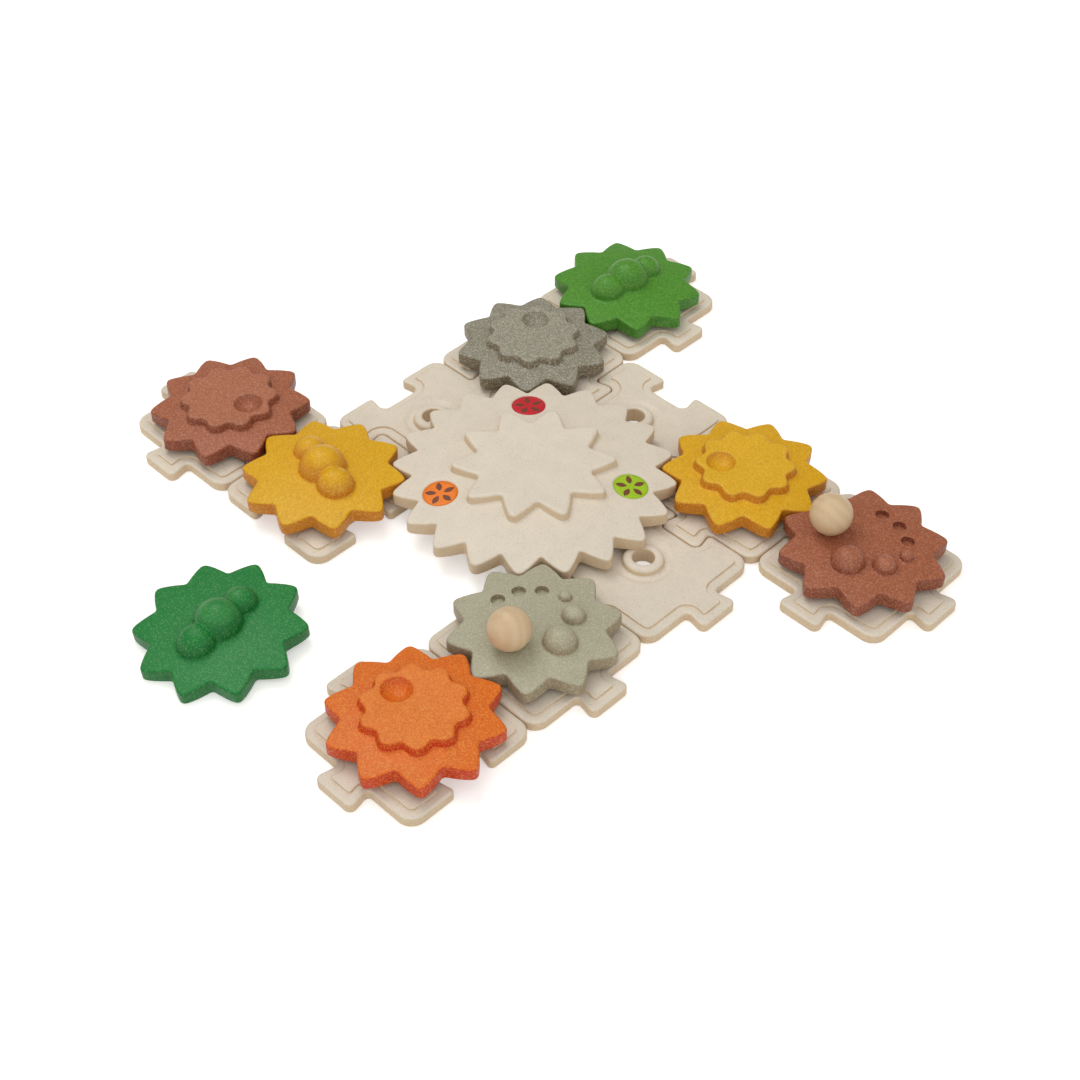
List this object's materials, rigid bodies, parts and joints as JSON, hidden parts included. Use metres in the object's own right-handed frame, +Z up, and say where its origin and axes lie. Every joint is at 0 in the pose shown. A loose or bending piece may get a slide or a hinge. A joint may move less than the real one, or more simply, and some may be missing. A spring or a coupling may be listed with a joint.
{
  "type": "wooden crank gear toy",
  "caption": "Interlocking wooden puzzle plates carrying a train of petal-shaped gears that are turned by ball knobs.",
  "frame": {"origin": "on the ground below the middle of the whole set's footprint, the loose gear included", "axes": "+X along the plate rows, +Y along the plate columns, +Z up along every gear's axis"},
  "size_m": [0.479, 0.4982, 0.0476],
  "materials": {
    "cream_wood": "matt pressed wood in its natural cream colour, with fine flecks",
    "gray_wood": "matt pressed wood dyed through, with fine lighter and darker flecks",
    "green_wood": "matt pressed wood dyed through, with fine lighter and darker flecks",
    "yellow_wood": "matt pressed wood dyed through, with fine lighter and darker flecks",
    "brown_wood": "matt pressed wood dyed through, with fine lighter and darker flecks",
    "light_gray_wood": "matt pressed wood dyed through, with fine lighter and darker flecks",
    "orange_wood": "matt pressed wood dyed through, with fine lighter and darker flecks",
    "dark_green_wood": "matt pressed wood dyed through, with fine lighter and darker flecks",
    "beech": "satin turned hardwood"
  },
  "bodies": {
    "base": {"plate_centre": "cream_wood", "plate_empty_left": "cream_wood", "plate_empty_top": "cream_wood", "plate_empty_right": "cream_wood", "plate_gray": "cream_wood", "plate_green": "cream_wood", "plate_yellow_left": "cream_wood", "plate_brown_left": "cream_wood", "plate_yellow_right": "cream_wood", "plate_brown_right": "cream_wood", "plate_light_gray": "cream_wood", "plate_orange": "cream_wood", "loose_gear": "dark_green_wood", "loose_gear_peg": "beech"},
    "big_gear_body": {"big_gear": "cream_wood", "big_gear_peg": "beech"},
    "gray_gear_body": {"gray_gear": "gray_wood", "gray_gear_peg": "beech"},
    "green_gear_body": {"green_gear": "green_wood", "green_gear_peg": "beech"},
    "yellow_left_gear_body": {"yellow_left_gear": "yellow_wood", "yellow_left_gear_peg": "beech"},
    "brown_left_gear_body": {"brown_left_gear": "brown_wood", "brown_left_gear_peg": "beech"},
    "yellow_right_gear_body": {"yellow_right_gear": "yellow_wood", "yellow_right_gear_peg": "beech"},
    "brown_right_gear_body": {"brown_right_gear": "brown_wood", "brown_right_gear_peg": "beech", "brown_right_knob_stem": "beech", "brown_right_knob": "beech"},
    "light_gray_gear_body": {"light_gray_gear": "light_gray_wood", "light_gray_gear_peg": "beech", "light_gray_knob_stem": "beech", "light_gray_knob": "beech"},
    "orange_gear_body": {"orange_gear": "orange_wood", "orange_gear_peg": "beech"}
  },
  "joints": [
    {"name": "big_gear_spin", "type": "hinge", "parent": "base", "child": "big_gear_body", "pos_m": [0, 0.00963, 0.011], "axis": [0, 0, 1], "continuous": true},
    {"name": "gray_gear_spin", "type": "hinge", "parent": "base", "child": "gray_gear_body", "pos_m": [-0.09, 0.09963, 0.011], "axis": [0, 0, 1], "continuous": true},
    {"name": "green_gear_spin", "type": "hinge", "parent": "base", "child": "green_gear_body", "pos_m": [-0.09, 0.18963, 0.011], "axis": [0, 0, 1], "continuous": true},
    {"name": "yellow_left_gear_spin", "type": "hinge", "parent": "base", "child": "yellow_left_gear_body", "pos_m": [-0.09, -0.08037, 0.011], "axis": [0, 0, 1], "continuous": true},
    {"name": "brown_left_gear_spin", "type": "hinge", "parent": "base", "child": "brown_left_gear_body", "pos_m": [-0.18, -0.08037, 0.011], "axis": [0, 0, 1], "continuous": true},
    {"name": "yellow_right_gear_spin", "type": "hinge", "parent": "base", "child": "yellow_right_gear_body", "pos_m": [0.09, 0.09963, 0.011], "axis": [0, 0, 1], "continuous": true},
    {"name": "brown_right_gear_spin", "type": "hinge", "parent": "base", "child": "brown_right_gear_body", "pos_m": [0.18, 0.09963, 0.011], "axis": [0, 0, 1], "continuous": true},
    {"name": "light_gray_gear_spin", "type": "hinge", "parent": "base", "child": "light_gray_gear_body", "pos_m": [0.09, -0.08037, 0.011], "axis": [0, 0, 1], "continuous": true},
    {"name": "orange_gear_spin", "type": "hinge", "parent": "base", "child": "orange_gear_body", "pos_m": [0.09, -0.17037, 0.011], "axis": [0, 0, 1], "continuous": true}
  ],
  "couplings": [
    {"joint": "gray_gear_spin", "follows": "big_gear_spin", "ratio": -2},
    {"joint": "green_gear_spin", "follows": "big_gear_spin", "ratio": 2},
    {"joint": "yellow_left_gear_spin", "follows": "big_gear_spin", "ratio": -2},
    {"joint": "brown_left_gear_spin", "follows": "big_gear_spin", "ratio": 2},
    {"joint": "yellow_right_gear_spin", "follows": "big_gear_spin", "ratio": -2},
    {"joint": "brown_right_gear_spin", "follows": "big_gear_spin", "ratio": 2},
    {"joint": "light_gray_gear_spin", "follows": "big_gear_spin", "ratio": -2},
    {"joint": "orange_gear_spin", "follows": "big_gear_spin", "ratio": 2}
  ]
}
